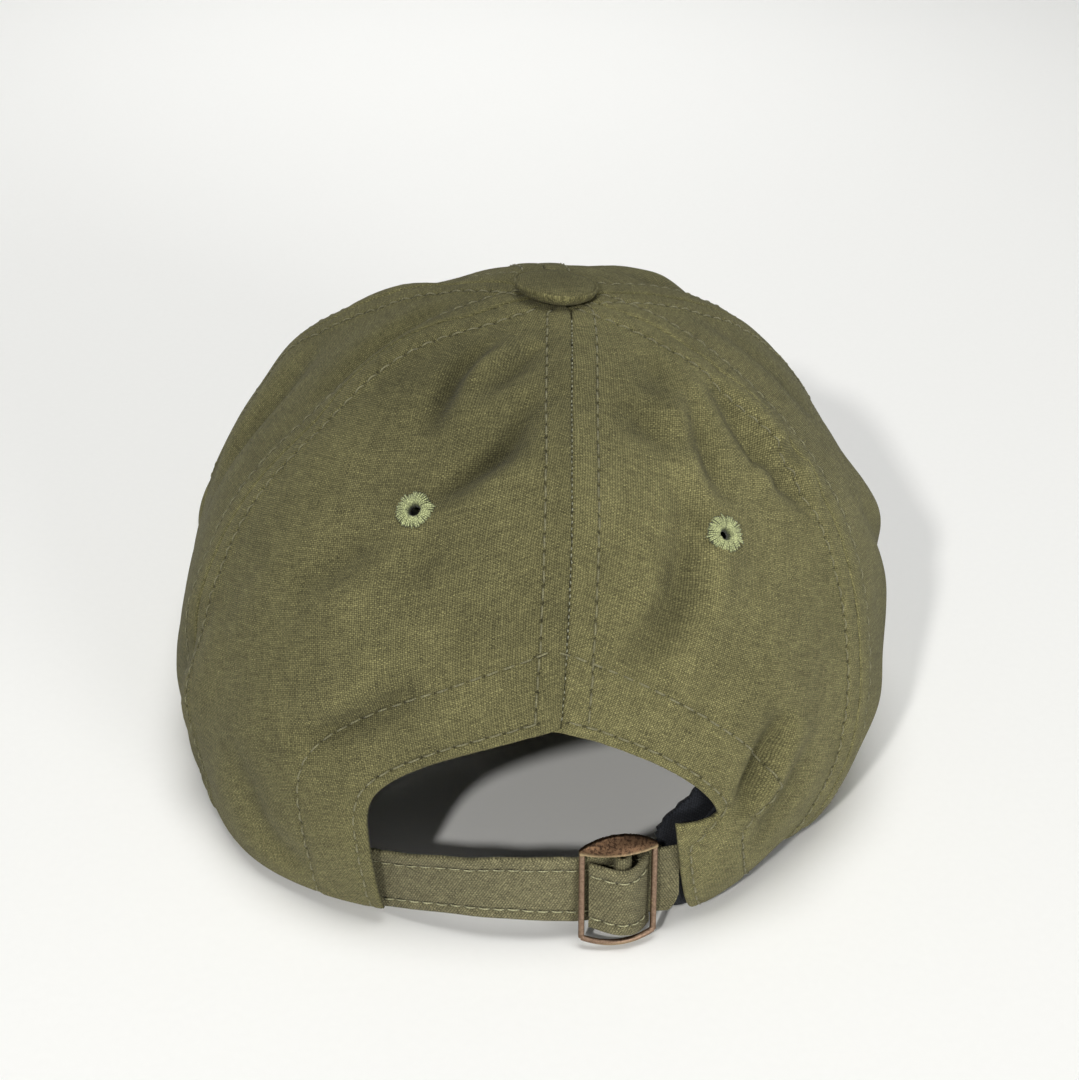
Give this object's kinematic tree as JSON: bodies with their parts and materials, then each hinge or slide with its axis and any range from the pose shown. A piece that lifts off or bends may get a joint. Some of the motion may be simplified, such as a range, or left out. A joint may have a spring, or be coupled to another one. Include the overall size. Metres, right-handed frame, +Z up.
{
  "type": "baseball cap",
  "caption": "Soft canvas cap with sewn panels, a stiff curved visor, a covered top button and a rear opening closed by a fabric strap and a slide buckle.",
  "frame": {"origin": "on the floor plane that the rim stands on, under the middle of the bounding box", "axes": "+Z up through the top button, +Y the way the visor points, -Y the back of the head, +X the wearer's right"},
  "size_m": [0.1828, 0.2692, 0.1199],
  "materials": {
    "canvas": "matt olive cotton canvas with a fine twill weave",
    "strap_canvas": "matt olive cotton canvas, double layer",
    "eyelet_thread": "pale green embroidery thread, slight sheen",
    "inner_tape": "blue-black cotton tape",
    "buckle_metal": "antique brass, brown in the hollows and rubbed bright on the edges",
    "rivet_metal": "plain steel",
    "visor_board": "white polyethylene board"
  },
  "bodies": {
    "crown": {"front_left_panel": "canvas", "front_right_panel": "canvas", "side_left_panel": "canvas", "side_right_panel": "canvas", "back_left_panel": "canvas", "back_right_panel": "canvas", "eyelet_front_left": "eyelet_thread", "eyelet_front_right": "eyelet_thread", "eyelet_back_left": "eyelet_thread", "eyelet_back_right": "eyelet_thread", "seam_tape_centre": "inner_tape", "seam_tape_front_left": "inner_tape", "seam_tape_front_right": "inner_tape", "seam_tape_back_left": "inner_tape", "seam_tape_back_right": "inner_tape", "rear_arch_facing": "canvas", "sweatband": "inner_tape", "top_button": "canvas", "button_rivet": "rivet_metal", "visor_top_cover": "canvas", "visor_board": "visor_board", "visor_under_cover": "canvas", "closure_strap": "strap_canvas"},
    "slider": {"buckle_tab": "strap_canvas", "strap_bight": "strap_canvas"},
    "buckle": {"buckle_frame": "buckle_metal"}
  },
  "joints": [
    {"name": "buckle_slide", "type": "hinge", "parent": "crown", "child": "slider", "pos_m": [-0.00173, -0.0611, 0.0139], "axis": [0, 0, -1], "range_deg": [-4, 36]},
    {"name": "buckle_tilt", "type": "hinge", "parent": "slider", "child": "buckle", "pos_m": [0.01737, -0.13094, 0.0139], "axis": [0, 0, 1], "range_deg": [-8, 8]}
  ]
}
